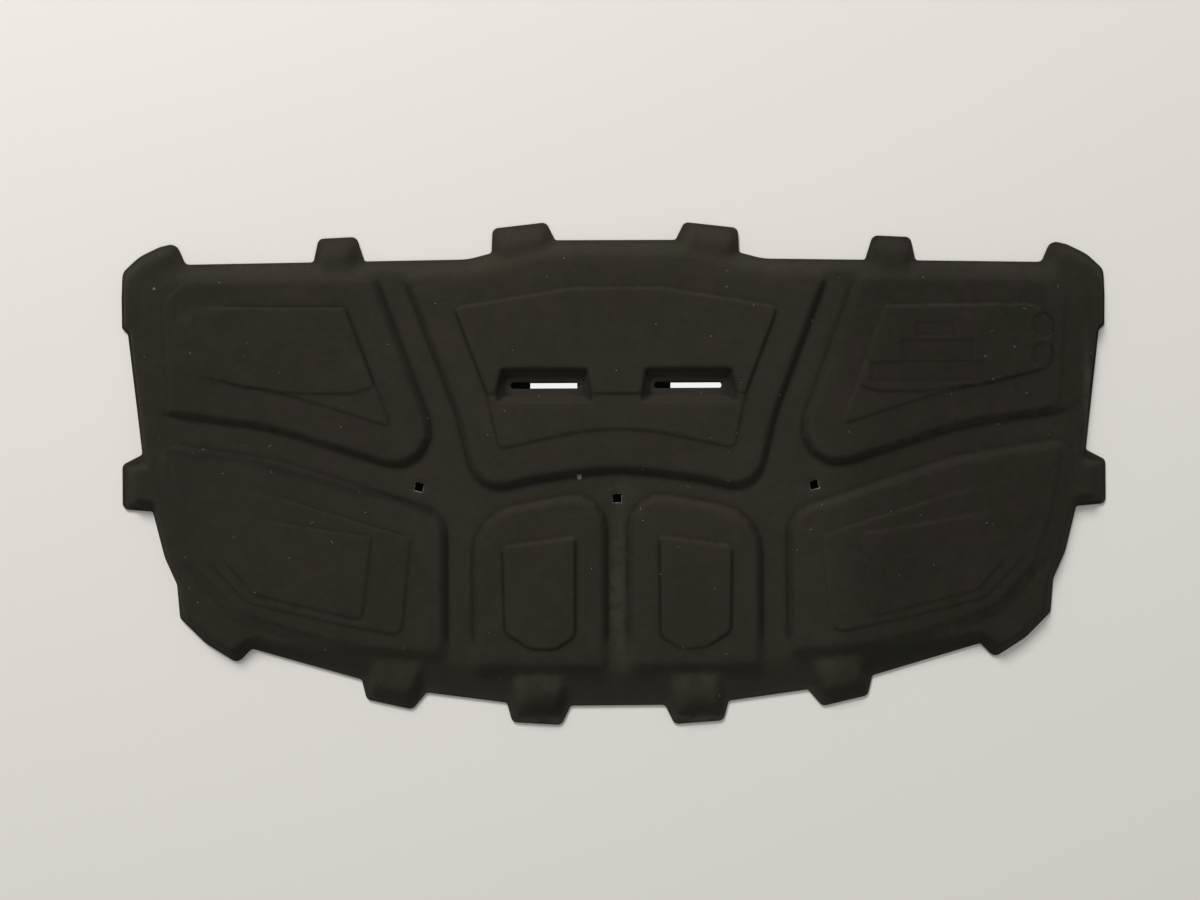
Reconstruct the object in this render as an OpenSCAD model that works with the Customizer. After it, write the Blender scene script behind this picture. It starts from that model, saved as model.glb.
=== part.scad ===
// Moulded felt hood pad, lying face up on its rim.
// X runs along the pad's width, Y from its lower to its upper edge, Z up out of the face.

/* [Overall] */
// Width over the side tabs
pad_w = 1374; // [1200:2:1500]
// Height from the lower tabs to the upper tabs
pad_h = 702; // [620:2:760]

/* [Felt] */
// Thickness of the pressed rim and of the tab ends
rim_t = 3; // [2:0.5:5]
// Width of the pressed rim
rim_w = 4; // [3:0.5:7]
// Height of the channel floors above the surface the pad lies on
floor_h = 18; // [15:0.5:22]
// Height of the raised panels above the channel floors
panel_rise = 9; // [6:0.5:14]
// Height of the first step inside a panel
step_rise = 1.5; // [0.8:0.1:3]
// Height of the second step inside a panel
second_rise = 1.5; // [0.8:0.1:3]
// Felt thickness under the channels
floor_t = 8; // [5:0.5:10]
// Felt thickness under the panels
panel_t = 11; // [8:0.5:13]

/* [Slopes] */
// Width of the wall round a panel
wall_run = 6; // [4:0.5:9]
// Width of the upper panels' wall towards the pad's upper edge
top_wall_run = 9; // [7:0.5:10]
// Width of the lower panels' wall towards the pad's lower edge
low_wall_run = 10; // [8:0.5:12]
// Width of the upper panels' slope towards the pad's side edges
flank_run = 38; // [30:1:40]
// Width of the lower panels' slope towards the pad's side edges
low_flank_run = 24; // [16:1:26]
// Width of the lower panels' slope towards the pad's lower edge
panel_end_run = 15; // [8:1:16]
// Width of the body's slope along the upper edge
top_run = 12; // [8:1:13]
// Width of the body's slope along the side edges
side_run = 7; // [5:0.5:9]
// Width of the body's slope along the lower edge
bottom_run = 44; // [36:1:49]
// Width of that slope beside the lower corners
corner_run = 16; // [10:1:20]
// Width of the rounded shoulder on top of a panel's wall
shoulder_w = 4; // [2:0.5:6]
// Height of that shoulder
shoulder_h = 3; // [1:0.25:4]
// Width of the rounding on top of the body's slopes
brow_w = 3; // [1:0.5:5]
// Height of that rounding
brow_h = 0.75; // [0.25:0.25:1.5]
// Width of the wall at a small step
step_run = 2.5; // [1.5:0.25:4]
// Depth of the crease along the upper middle panel's edge
crease_h = 1; // [0.5:0.1:1.5]

/* [Tabs] */
// Length of the slope at a tab's end
tab_run = 22; // [14:1:26]
// Width of the slopes at a tab's sides
tab_side_run = 6; // [3:0.5:9]

/* [Slots] */
// Length of a slot
slot_l = 94; // [70:1:100]
// Width of a slot
slot_w = 9; // [7:0.5:12]
// Distance of a slot's middle from the pad's middle line
slot_x = 99; // [92:1:106]
// Distance of the slots above the pad's mid height
slot_y = 123; // [115:1:130]
// Flat margin of the pocket floor beyond a slot's ends
pocket_margin = 6.5; // [4:0.5:8]
// Flat margin of the pocket floor above and below a slot
pocket_side = 9; // [5:0.5:11]
// Width of the pocket's upper wall
pocket_top_run = 9; // [6:1:14]
// Width of the pocket's lower wall
pocket_low_run = 11; // [8:1:14]
// Width of the pocket's end walls at their upper corners
pocket_end_run = 6; // [3:0.5:9]
// The same at their lower corners
pocket_flare = 16; // [8:1:18]
// Radius of the pocket's corners
pocket_r = 3; // [1:0.5:5]

/* [Clip holes] */
// Side of a square clip hole
clip_w = 12; // [8:0.5:16]
// Distance of the outer clip holes from the middle line
clip_x = 273; // [262:1:286]
// Height of the outer clip holes from the pad's mid height
clip_y = -16; // [-22:1:-10]
// Height of the middle clip hole from the pad's mid height
clip_mid_y = -33; // [-37:1:-28]
// Turn of the outer clip holes
clip_turn = 14; // [0:1:20]

/* [Hidden] */

felt_colour = [0.19, 0.17, 0.15];
// The outlines below are drawn at this size and follow pad_w and pad_h
drawn_w = 1374;
drawn_h = 702;
wide = pad_w / drawn_w;
high = pad_h / drawn_h;
panel_h = floor_h + panel_rise;
step_h = panel_h + step_rise;
second_h = step_h + second_rise;
sink = 4;              // how far a raised form reaches into what carries it
past = 1;              // how far a cut runs past a face
through_h = 4 * floor_h; // height of a cut right through the felt, half of it above the rim's back
turns = 4;             // straight pieces in a rounded corner
fine_turns = 7;        // the same in a long sweeping corner
sweeping_r = 100;      // a corner from this radius up is a sweeping one
nearly_straight = 0.2; // sine of the turn below which two edges count as in line
edge_share = 0.48;     // largest part of an edge that one rounded corner takes
full_turn = 32;        // straight pieces in a full turn of an offset or a slot's end
slab = 0.01;           // thickness of the flat top that a tab block is hulled from
fillet_r = 5;          // radius in the inner corners of the rim
tab_r = 9;             // radius at the tips of the tabs
root_r = 2;            // radius of a tab block's corners under the body
back_margin = 10;      // flat border round the hollow of the back
hollow_run = 6;        // slope width of the hollows in the back
bar_margin = 14;       // solid felt kept round the pockets in the back
// Rings of a rounded shoulder: share of its width, share of its height still to rise
shoulder_rings = [[0, 1], [0.33, 0.33], [1, 0]];

// An outline is a list of corners [x, y, radius, slope width of the edge that starts there],
// clockwise as seen on the face.
// The whole loop of a half outline, whose first edge crosses the middle line at the top
function whole(half, first_run, axis = []) = concat(
    half, axis,
    [for (i = [len(half) - 1:-1:0])
        [-half[i].x, half[i].y, half[i][2], i > 0 ? half[i - 1][3] : first_run]]);

body_half = [
    [106, 327, 40, top_run], [206, 300.5, 90, top_run], [598.5, 294.5, 9, top_run],
    [611.5, 324.5, 12, top_run], [634, 319, 25, top_run], [662, 305.5, 60, top_run],
    [685, 284, 16, side_run], [687, 250, 60, side_run], [686.5, 206, 5, side_run],
    [678.5, 198.5, 5, side_run], [659, 30, 60, side_run], [645, -48, 60, side_run],
    [629, -112, 60, side_run], [612, -150, 14, side_run], [608, -197, 7, side_run],
    [573, -232, 60, side_run], [529, -260, 10, side_run], [509, -240, 6, corner_run],
    [357, -284, 60, bottom_run], [266.5, -303, 60, bottom_run],
    [155, -318, 60, bottom_run], [66, -323, 60, bottom_run]];
body = whole(body_half, top_run);

// Tabs of one half: root, tip, tip, root, clockwise
tabs = [
    [[84, 327], [96.5, 352], [171.5, 343.5], [173, 310]],
    [[350, 298.5], [361, 332.5], [413.5, 330], [421, 296]],
    [[659, 31], [687, 16.5], [687, -45], [645, -48.5]],
    [[357, -284], [350, -312], [286.5, -326.5], [266.5, -303]],
    [[155, -318], [147.5, -345.5], [79, -350], [66, -323]]];

upper_side = [
    [335.5, 272.5, 6, top_wall_run], [588, 269.5, 25, flank_run], [620, 240, 20, flank_run],
    [611, 89, 10, wall_run], [472, 69, 500, wall_run], [231, -9, 44, wall_run]];
upper_middle = whole(
    [[98, 302, 40, top_wall_run], [204, 276, 60, top_wall_run], [287.5, 273, 6, wall_run],
     [216, 84, 150, wall_run], [190.5, -22.5, 50, wall_run], [112, -3.5, 400, wall_run]],
    top_wall_run, [[0, 11, 480, wall_run]]);
lower_side = [
    [240, -57, 34, wall_run], [470, 18.5, 500, wall_run], [614, 40, 12, low_flank_run],
    [600, -50, 40, low_flank_run], [577, -122, 25, panel_end_run],
    [524, -182, 15, panel_end_run], [480, -200, 15, panel_end_run],
    [357, -237, 60, low_wall_run], [240, -246, 4, wall_run]];
lower_middle = [
    [19, -24, 42, wall_run], [195, -57, 62, wall_run], [195, -263, 4, low_wall_run],
    [19, -265, 4, wall_run]];

upper_side_step = [
    [312, 70, 2, step_run], [336, 131, 2, step_run], [480, 131, 2, step_run],
    [522, 129, 2, step_run], [440, 111, 150, step_run]];
upper_side_second = [
    [333, 122, 2, step_run], [372, 228, 4, step_run], [575, 230, 40, step_run],
    [600, 205, 20, step_run], [595, 146, 10, step_run], [511, 125, 100, step_run],
    [431, 113.5, 60, step_run], [362, 113.5, 10, step_run]];
upper_middle_step = whole(
    [[178, 119, 1, step_run], [175, 112, 30, step_run], [159, 38, 6, step_run]],
    step_run, [[0, 73, 640, step_run]]);
upper_middle_second = whole(
    [[60, 254, 150, step_run], [219, 227.5, 6, step_run], [175, 112, 2, step_run]], step_run);
lower_side_step = [
    [286, -86, 4, step_run], [470, -28, 60, step_run], [572, -9, 30, step_run],
    [562, -108, 40, step_run], [505, -170, 25, step_run], [390, -198, 60, step_run],
    [298, -217, 12, step_run]];
lower_side_second = [
    [338, -84, 4, step_run], [418, -72, 40, step_run], [545, -50, 40, step_run],
    [540, -106, 30, step_run], [494, -159, 20, step_run], [352, -194, 4, step_run]];
lower_middle_step = [
    [60, -87, 3, step_run], [155, -100, 6, step_run], [152.5, -215, 12, step_run],
    [120, -236, 20, step_run], [88, -238, 20, step_run], [61, -221, 12, step_run]];

// Crease that follows the upper edge of the upper middle panel
crease_half = [[60, 286], [117, 283], [172, 275], [230, 264], [320, 250]];

// An outline at the pad's real size; its fifth values are the straight pieces of each corner
function placed(corners) = [for (c = corners)
    [c.x * wide, c.y * high, c[2], c[3], c[2] >= sweeping_r ? fine_turns : turns]];
function unit(v) = v / norm(v);
function flat(c) = [c.x, c.y];
function before(list, i) = list[(i + len(list) - 1) % len(list)];
function after(list, i) = list[(i + 1) % len(list)];
// Inward normal of the edge from a to b of a clockwise outline
function inward(a, b) = let (d = unit(flat(b) - flat(a))) [d.y, -d.x];
function cross2(a, b) = a.x * b.y - a.y * b.x;
// Does the outline turn outwards at this corner, as at the tip of a tab?
function convex(list, i) =
    cross2(inward(before(list, i), list[i]), inward(list[i], after(list, i))) < 0;

// The outline moved inwards, each edge by its own distance in far. A corner between edges
// that are nearly in line moves straight in by their mean distance.
function moved(list, far) = [for (i = [0:len(list) - 1])
    let (a = inward(before(list, i), list[i]), b = inward(list[i], after(list, i)),
         da = before(far, i), db = far[i], det = cross2(a, b),
         v = abs(det) < nearly_straight ? unit(a + b) * (da + db) / 2
             : [(da * b.y - db * a.y) / det, (a.x * db - b.x * da) / det],
         near = max(1, list[i][2] + (convex(list, i) ? -1 : 1) * (da + db) / 2))
    [list[i].x + v.x, list[i].y + v.y, near, list[i][3], list[i][4]]];
function inset(list, distance) = moved(list, [for (c = list) distance]);
function runs(list, share) = [for (c = list) share * c[3]];

// The outline's points, with its corners rounded
function rounded(list) = [for (i = [0:len(list) - 1])
    let (p = flat(list[i]), to_before = flat(before(list, i)) - p, to_after = flat(after(list, i)) - p,
         u = unit(to_before), v = unit(to_after),
         half = acos(max(-1, min(1, u * v))) / 2,
         room = edge_share * min(norm(to_before), norm(to_after)),
         reach = min(room, list[i][2] / tan(half)),
         r = reach * tan(half),
         middle = p + unit(u + v) * r / sin(half),
         first = p + u * reach - middle,
         start = atan2(first.y, first.x),
         sweep = (convex(list, i) ? -1 : 1) * (180 - 2 * half),
         pieces = is_undef(list[i][4]) ? turns : list[i][4])
    for (k = [0:pieces])
        let (angle = start + sweep * k / pieces) middle + r * [cos(angle), sin(angle)]];

// A solid through rings [points, z] that have equally many points
module loft(rings) {
    n = len(rings[0][0]);
    last = len(rings) - 1;
    polyhedron(
        points = [for (ring = rings) for (p = ring[0]) [p.x, p.y, ring[1]]],
        faces = concat(
            [[for (i = [n - 1:-1:0]) i]],
            [for (k = [0:last - 1]) for (i = [0:n - 1])
                for (f = [[0, 1, n + 1], [0, n + 1, n]])
                    [for (j = f) k * n + (j < n ? (i + j) % n : n + (i + j) % n)]],
            [[for (i = [0:n - 1]) last * n + i]]));
}

module both_sides() {
    children();
    mirror([1, 0, 0]) children();
}

// A raised form whose top outline is given, with sloping walls and, if shoulder is above 0,
// a rounded shoulder of that width. Below its foot the walls spread as much as they sink.
module raised(corners, low, top, shoulder = 0) {
    crest = placed(corners);
    foot = moved(crest, runs(crest, -1));
    loft(concat(
        [[rounded(inset(foot, -sink)), low - sink], [rounded(foot), low]],
        shoulder > 0
            ? [for (s = shoulder_rings)
                [rounded(inset(crest, s.x * shoulder)), top - s.y * shoulder_h]]
            : [[rounded(crest), top]]));
}

module tab_outline(t) {
    offset(r = tab_r, $fn = full_turn) offset(delta = -tab_r)
        polygon(concat([for (p = t) [p.x * wide, p.y * high]], [[0, 0]]));
}

// Thin pressed rim with all the tabs
module rim() {
    linear_extrude(rim_t)
        offset(r = -fillet_r, $fn = full_turn) offset(delta = fillet_r)
            union() {
                polygon(rounded(placed(body)));
                for (side = [1, -1]) for (t = tabs) scale([side, 1]) tab_outline(t);
            }
}

// Middle slab that carries the panels, sloping down to the rim
module slab_body() {
    outline = placed(body);
    foot = inset(outline, rim_w);
    crest = moved(foot, runs(foot, 1));
    loft([
        [rounded(foot), 0], [rounded(foot), rim_t],
        [rounded(crest), floor_h - brow_h],
        [rounded(inset(crest, brow_w)), floor_h]]);
}

// Block on a tab, level with the channel floors, sloping to the tab's end and sides
module tab_block(t) {
    root_a = [t[0].x * wide, t[0].y * high];
    tip_a = [t[1].x * wide, t[1].y * high];
    tip_b = [t[2].x * wide, t[2].y * high];
    root_b = [t[3].x * wide, t[3].y * high];
    inwards = inward(tip_a, tip_b);
    deep = bottom_run + rim_w;
    outline = [
        concat(tip_a, [tab_r, 0]), concat(tip_b, [tab_r, 0]),
        concat(root_b + inwards * deep, [root_r, 0]), concat(root_a + inwards * deep, [root_r, 0])];
    foot = moved(outline, [rim_w, rim_w, 0, rim_w]);
    top = moved(foot, [tab_run, tab_side_run, 0, tab_side_run]);
    hull() {
        linear_extrude(rim_t) polygon(rounded(foot));
        translate([0, 0, floor_h - slab]) linear_extrude(slab) polygon(rounded(top));
    }
}

// Cut that lowers the upper middle panel beyond its crease
module crease_cut() {
    line = [for (p = crease_half) [p.x * wide, p.y * high]];
    side = concat([[0, line[0].y]], line, [[pad_w / 2, pad_h], [0, pad_h]]);
    translate([0, 0, panel_h - crease_h])
        linear_extrude(panel_rise)
            for (s = [1, -1]) scale([s, 1]) polygon(side);
}

module panels() {
    both_sides() {
        raised(upper_side, floor_h, panel_h, shoulder_w);
        raised(lower_side, floor_h, panel_h, shoulder_w);
        raised(lower_middle, floor_h, panel_h, shoulder_w);
        raised(upper_side_step, panel_h, step_h);
        raised(upper_side_second, panel_h, second_h);
        raised(lower_side_step, panel_h, step_h);
        raised(lower_side_second, step_h, second_h);
        raised(lower_middle_step, panel_h, second_h);
    }
    difference() {
        raised(upper_middle, floor_h, panel_h, shoulder_w);
        crease_cut();
    }
    raised(upper_middle_step, panel_h, step_h);
    raised(upper_middle_second, panel_h, second_h);
}

// Recess in the upper middle panel with a slot through its floor
module pocket_and_slot() {
    top = second_h + past;
    lean = (top - floor_h) / (second_h - floor_h);
    half_l = slot_l / 2 + pocket_margin;
    half_w = slot_w / 2 + pocket_side;
    floor_ring = [[-half_l, half_w, pocket_r, 0], [half_l, half_w, pocket_r, 0],
                  [half_l, -half_w, pocket_r, 0], [-half_l, -half_w, pocket_r, 0]];
    upper_l = half_l + lean * pocket_end_run;
    lower_l = half_l + lean * pocket_flare;
    upper_w = half_w + lean * pocket_top_run;
    lower_w = half_w + lean * pocket_low_run;
    top_ring = [[-upper_l, upper_w, pocket_r, 0], [upper_l, upper_w, pocket_r, 0],
                [lower_l, -lower_w, pocket_r, 0], [-lower_l, -lower_w, pocket_r, 0]];
    translate([slot_x * wide, slot_y * high, 0]) {
        loft([[rounded(floor_ring), floor_h], [rounded(top_ring), top]]);
        hull() for (s = [-1, 1]) translate([s * (slot_l - slot_w) / 2, 0, 0])
            cylinder(d = slot_w, h = through_h, center = true, $fn = full_turn);
    }
}

module clip_hole(x, y, turn) {
    translate([x * wide, y * high, 0]) rotate([0, 0, turn])
        cube([clip_w, clip_w, through_h], center = true);
}

// Hollow under the whole body, which leaves the channel floors floor_t thick
module back_hollow() {
    outline = inset(placed(body), rim_w);
    mouth = rounded(inset(outline, back_margin));
    loft([
        [mouth, -past], [mouth, 0],
        [rounded(moved(outline, [for (c = outline) c[3] + hollow_run])), floor_h - floor_t]]);
}

// Hollow under one panel, which leaves it panel_t thick
module panel_hollow(corners) {
    crest = placed(corners);
    low = floor_h - floor_t;
    loft([
        [rounded(crest), low - past], [rounded(crest), low],
        [rounded(inset(crest, hollow_run)), panel_h - panel_t]]);
}

module back_hollows() {
    back_hollow();
    both_sides() {
        panel_hollow(upper_side);
        panel_hollow(lower_side);
        panel_hollow(lower_middle);
    }
    // The felt stays solid round the pockets
    bar_w = slot_w + 2 * (pocket_side + max(pocket_top_run, pocket_low_run) + bar_margin);
    difference() {
        panel_hollow(upper_middle);
        translate([0, slot_y * high, 0]) cube([pad_w / 2, bar_w, through_h], center = true);
    }
}

module insulation_pad() {
    color(felt_colour)
        difference() {
            union() {
                rim();
                slab_body();
                both_sides() for (t = tabs) tab_block(t);
                panels();
            }
            both_sides() {
                pocket_and_slot();
                clip_hole(clip_x, clip_y, clip_turn);
            }
            clip_hole(0, clip_mid_y, 0);
            back_hollows();
        }
}

insulation_pad();
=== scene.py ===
# %% [markdown]
# # A moulded felt hood pad
# The pad lines the underside of a car's hood. It is one sheet of needled felt, pressed hot
# between two dies: thin and hard at the rim, soft and thick in the raised panels.
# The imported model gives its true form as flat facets. This lesson draws a fine, soft skin over
# that form, rounds what felt can't keep sharp, and gives it fibres, dust and lint.
# Everything is in metres: X along the width, Y towards the slots, Z up out of the face.

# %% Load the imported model
import math

import bmesh
import bpy
import numpy as np
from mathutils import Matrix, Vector
from mathutils.bvhtree import BVHTree
from mathutils.geometry import delaunay_2d_cdt


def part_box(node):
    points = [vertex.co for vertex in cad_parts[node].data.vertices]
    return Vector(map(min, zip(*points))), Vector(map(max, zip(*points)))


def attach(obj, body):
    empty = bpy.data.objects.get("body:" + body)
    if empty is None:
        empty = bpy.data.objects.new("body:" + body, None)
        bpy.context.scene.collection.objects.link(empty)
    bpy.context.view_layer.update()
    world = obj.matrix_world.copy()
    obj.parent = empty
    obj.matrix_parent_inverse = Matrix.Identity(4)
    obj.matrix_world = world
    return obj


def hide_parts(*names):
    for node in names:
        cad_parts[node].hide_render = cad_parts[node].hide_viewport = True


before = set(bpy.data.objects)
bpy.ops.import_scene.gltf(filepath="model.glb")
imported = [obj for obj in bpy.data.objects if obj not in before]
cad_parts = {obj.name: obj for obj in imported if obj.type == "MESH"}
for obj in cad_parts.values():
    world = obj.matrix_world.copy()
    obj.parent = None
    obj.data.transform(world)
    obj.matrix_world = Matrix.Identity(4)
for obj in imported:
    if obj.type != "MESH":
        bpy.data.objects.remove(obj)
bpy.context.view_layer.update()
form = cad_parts["insulation_pad"]
low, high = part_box("insulation_pad")
print("pressed form:", [round(1000 * v) for v in high - low], "mm")

# %% [markdown]
# ## Camera
# The photograph looks straight down on the face from about 1.27 m, a little left of the middle
# and a little above it. A wide lens at that distance shows the inner sides of the pockets. The
# tilt and turn of about half a degree were worked out from pairs of points left and right.

# %% Camera
LENS = 27.18  # focal length in millimetres, over a sensor 36 mm wide
CAMERA_PLACE = (-0.0357, 0.0338, 1.268)
CAMERA_TILT, CAMERA_TURN = -0.571, -0.316  # in degrees
camera_data = bpy.data.cameras.new("camera")
camera_data.sensor_width = 36
camera_data.lens = LENS
camera = bpy.data.objects.new("camera", camera_data)
camera.location = CAMERA_PLACE
camera.rotation_euler = (0, math.radians(CAMERA_TILT), math.radians(CAMERA_TURN))
bpy.context.scene.collection.objects.link(camera)
bpy.context.scene.camera = camera
print("camera height:", camera.location.z, "m")

# %% [markdown]
# ## Two height maps
# A pressed sheet is a surface with one height over each point of its plan, so a map of heights
# describes it fully. One ray from above and one from below each point of a fine grid read the
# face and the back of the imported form. Points off the pad and in its holes give no height.

# %% Read the face and the back
CELL = 0.0015  # grid spacing
BORDER = 0.012  # empty border round the pad
CLEAR = 0.05  # how far off the pad the rays start
tree = BVHTree.FromObject(form, bpy.context.evaluated_depsgraph_get())
columns = np.arange(low.x - BORDER, high.x + BORDER, CELL)
rows = np.arange(low.y - BORDER, high.y + BORDER, CELL)


def read_heights(start, direction):
    """Height of the first surface met from start along Z, over the whole grid."""
    heights = np.full((len(rows), len(columns)), np.nan)
    way = Vector((0, 0, direction))
    for r, y in enumerate(rows):
        for c, x in enumerate(columns):
            hit = tree.ray_cast(Vector((x, y, start)), way)[0]
            if hit is not None:
                heights[r, c] = hit.z
    return heights


face_raw = read_heights(high.z + CLEAR, -1)
back_raw = read_heights(low.z - CLEAR, 1)
felt_here = ~np.isnan(face_raw)
print("grid:", face_raw.shape, "felt on", round(float(felt_here.mean()), 3), "of it")

# %% [markdown]
# ## Fill the gaps
# The blurs that follow need a height everywhere. Off the pad that is the height of the rim, and
# in the slots and clip holes it is the channel floor, so no edge is dragged up or down.

# %% Fill the gaps
RIM_TOP = 0.003  # height of the hard rim,
FLOOR_TOP = 0.018  # of the channel floors
PANEL_TOP = 0.027  # and of the panels without their low steps
HOLES_REACH = 0.3  # all holes are nearer to the middle line than this,
HOLES_FROM, HOLES_TO = -0.06, 0.15  # and between these two lines across the pad
grid_x, grid_y = np.meshgrid(columns, rows)
hole_zone = (abs(grid_x) < HOLES_REACH) & (grid_y > HOLES_FROM) & (grid_y < HOLES_TO)
ceiling = float(np.nanmedian(back_raw[hole_zone]))
face_map = np.where(felt_here, face_raw, np.where(hole_zone, FLOOR_TOP, RIM_TOP))
back_map = np.where(felt_here, back_raw, np.where(hole_zone, ceiling, 0.0))
print("face from", round(1000 * face_map.min(), 1), "to", round(1000 * face_map.max(), 1), "mm")

# %% [markdown]
# ## Blurs and ramps
# Felt bends round the die's edges in a wide, soft shoulder, but where a wall meets the floor the
# die pinches it into a crease. Taking the lower of the form and its own blur does just that:
# an outer edge is cut down by the blur, and an inner one keeps its crease. The blur is done on
# the map's waves, which is quick for any radius. Two ramps say where something holds.


# %% Blurs and ramps
def blurred(heights, radius):
    """The map after a soft blur of that radius in metres."""
    down = np.fft.fftfreq(heights.shape[0], CELL)[:, None]
    along = np.fft.rfftfreq(heights.shape[1], CELL)[None, :]
    keep = np.exp(-2 * (math.pi * radius) ** 2 * (down**2 + along**2))
    return np.fft.irfft2(np.fft.rfft2(heights) * keep, s=heights.shape)


def shouldered(heights, radius, passes):
    """The map with its outer edges rounded and its inner creases kept."""
    for _ in range(passes):
        heights = np.minimum(heights, blurred(heights, radius))
    return heights


def above(values, start, width):
    """0 up to start, then rising evenly to 1 over that width."""
    return np.clip((values - start) / width, 0, 1)


def below(values, start, width):
    """0 down to start, then rising evenly to 1 as the values fall on by that width."""
    return np.clip((start - values) / width, 0, 1)


print("a ramp from 2 over a width of 4:", above(np.arange(2, 7), 2, 4))

# %% [markdown]
# ## Round the shoulders
# The walls get a wide shoulder. Near the pad's own edge and below the lower panels the felt is
# pressed less hard, so the form is blurred there as a whole, and two slopes that follow each
# other become one.

# %% Round the shoulders
SHOULDER = 0.0022  # how far a shoulder's bend reaches
LOOSE = 0.0042  # the same where the felt is pressed less hard
EDGE_REACH = 0.016  # how far from the pad's edge that is
main_form = shouldered(np.minimum(face_map, PANEL_TOP), SHOULDER, 2)
near_edge = below(blurred(felt_here.astype(float), EDGE_REACH), 0.98, 0.15)
near_edge *= abs(grid_x) < 0.66  # the ends keep their form
near_top = above(grid_y, 0.262, 0.008)
near_bottom = below(grid_y, -0.222, 0.015)
soft_zone = blurred(np.maximum.reduce([near_edge, near_top, near_bottom]), 0.004)
main_form += soft_zone * (blurred(main_form, LOOSE) - main_form)
print("pressed less hard on", round(float(soft_zone[felt_here].mean()), 2), "of the face")

# %% [markdown]
# ## Low steps and their wear
# The panels' low steps are treated apart, with a much smaller shoulder, or they would melt away.
# Towards both ends of the pad they are worn nearly flat, and so is the lower end of one step in
# the middle. A blur that fades in there wears them.

# %% Low steps and their wear
STEP_SHOULDER = 0.0009  # how far a low step's bend reaches
WEAR = 0.006  # how wide a worn step is smeared out
ACROSS = 0.04  # the upper and the lower panels meet on this line
low_steps = shouldered(np.maximum(face_map - PANEL_TOP, 0), STEP_SHOULDER, 1)
worn_low = above(abs(grid_x), 0.44, 0.08) * above(grid_y, -0.125, 0.02)
worn_high = below(grid_x, -0.52, 0.06) + np.minimum(above(grid_x, 0.57, 0.06), 0.6)
worn = blurred(np.where(grid_y < ACROSS, worn_low, worn_high), 0.008)
worn_foot = np.exp(-(((grid_x - 0.105) / 0.07) ** 4) - ((grid_y + 0.262) / 0.03) ** 4)
worn = np.maximum(worn, 0.65 * worn_foot)
low_steps += worn * (blurred(low_steps, WEAR) - low_steps)
face_map = blurred(main_form + low_steps, 0.0006)
back_map = blurred(back_map, 0.002)
taken_off = float((face_raw - face_map)[felt_here].max())
print("shoulders take off up to", round(1000 * taken_off, 1), "mm")

# %% [markdown]
# ## Bare recesses in the upper right panel
# The die has three stepped plates there and two round ones, pressed about a millimetre deep.
# They stay bare. Each is a soft-edged box or disc that is taken off the height map.

# %% Press the recesses
PLATES = [  # left, right, lower and upper edge, depth
    (0.410, 0.465, 0.188, 0.208, 0.0010),
    (0.390, 0.490, 0.152, 0.183, 0.0010),
    (0.348, 0.504, 0.125, 0.153, 0.0010),
]
ROUNDS = [(0.588, 0.203, 0.017, 0.0012), (0.588, 0.162, 0.017, 0.0012)]  # x, y, radius, depth
EDGE = 0.0015  # width of a recess's edge


def ramp(distance):
    """0 outside a shape, 1 inside it, with a soft edge."""
    return np.clip(0.5 + distance / EDGE, 0, 1)


recesses = np.zeros_like(face_map)
for left, right, bottom, top, depth in PLATES:
    inside = np.minimum.reduce([grid_x - left, right - grid_x, grid_y - bottom, top - grid_y])
    recesses += depth * ramp(inside)
for x, y, radius, depth in ROUNDS:
    recesses += depth * ramp(radius - np.hypot(grid_x - x, grid_y - y))
face_map -= recesses
print("recesses:", len(PLATES), "plates and", len(ROUNDS), "rounds")

# %% [markdown]
# ## The pad's edge and holes
# The skin has to end exactly on the real edge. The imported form's edge loops are the edges next
# to an upright wall: at the back's level for the outline, at the channel floor for the holes.
# A loop is walked from point to point, which always goes on along the next edge found.

# %% Find the edge loops
SAME_POINT = 1e-6  # points nearer than this are one
SAME_HEIGHT = 1e-5  # and heights nearer than this are the same
UPRIGHT = 0.02  # a wall's normal rises less than this
shape = bmesh.new()
shape.from_mesh(form.data)
bmesh.ops.remove_doubles(shape, verts=shape.verts, dist=SAME_POINT)
shape.normal_update()


def edge_loops(height):
    """Closed loops of edges at that height that have an upright wall on one side."""
    beside = {}
    for edge in shape.edges:
        level = all(abs(v.co.z - height) < SAME_HEIGHT for v in edge.verts)
        if level and any(abs(f.normal.z) < UPRIGHT for f in edge.link_faces):
            a, b = edge.verts
            beside.setdefault(a, []).append(b)
            beside.setdefault(b, []).append(a)
    beside = {v: n for v, n in beside.items() if len(n) == 2}
    found = []
    while beside:
        start = at = next(iter(beside))
        loop, came = [], None
        while at in beside:
            loop.append(at.co.xy.copy())
            step = [v for v in beside.pop(at) if v is not came]
            came, at = at, next((v for v in step if v in beside), start)
        if len(loop) > 3 and at is start:
            found.append(np.array(loop))
    return found


outline = max(edge_loops(0.0), key=len)
floor_loops = edge_loops(FLOOR_TOP)
shape.free()
print("outline:", len(outline), "corners, loops on the channel floors:", len(floor_loops))

# %% [markdown]
# ## Even pieces
# The loops are cut into short even pieces that keep every corner, so the skin's triangles along
# them are small too. A loop on the channel floor is a hole if there is no felt in its middle.

# %% Even pieces
EDGE_PIECE = 0.0025  # about how long a piece is


def evenly(loop, piece):
    """The same closed loop with every edge cut into equal pieces, so that it keeps its corners."""
    cut = []
    for start, end in zip(loop, np.roll(loop, -1, axis=0)):
        steps = max(1, round(float(np.linalg.norm(end - start)) / piece))
        cut += [start + (end - start) * k / steps for k in range(steps)]
    return np.array(cut)


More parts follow.
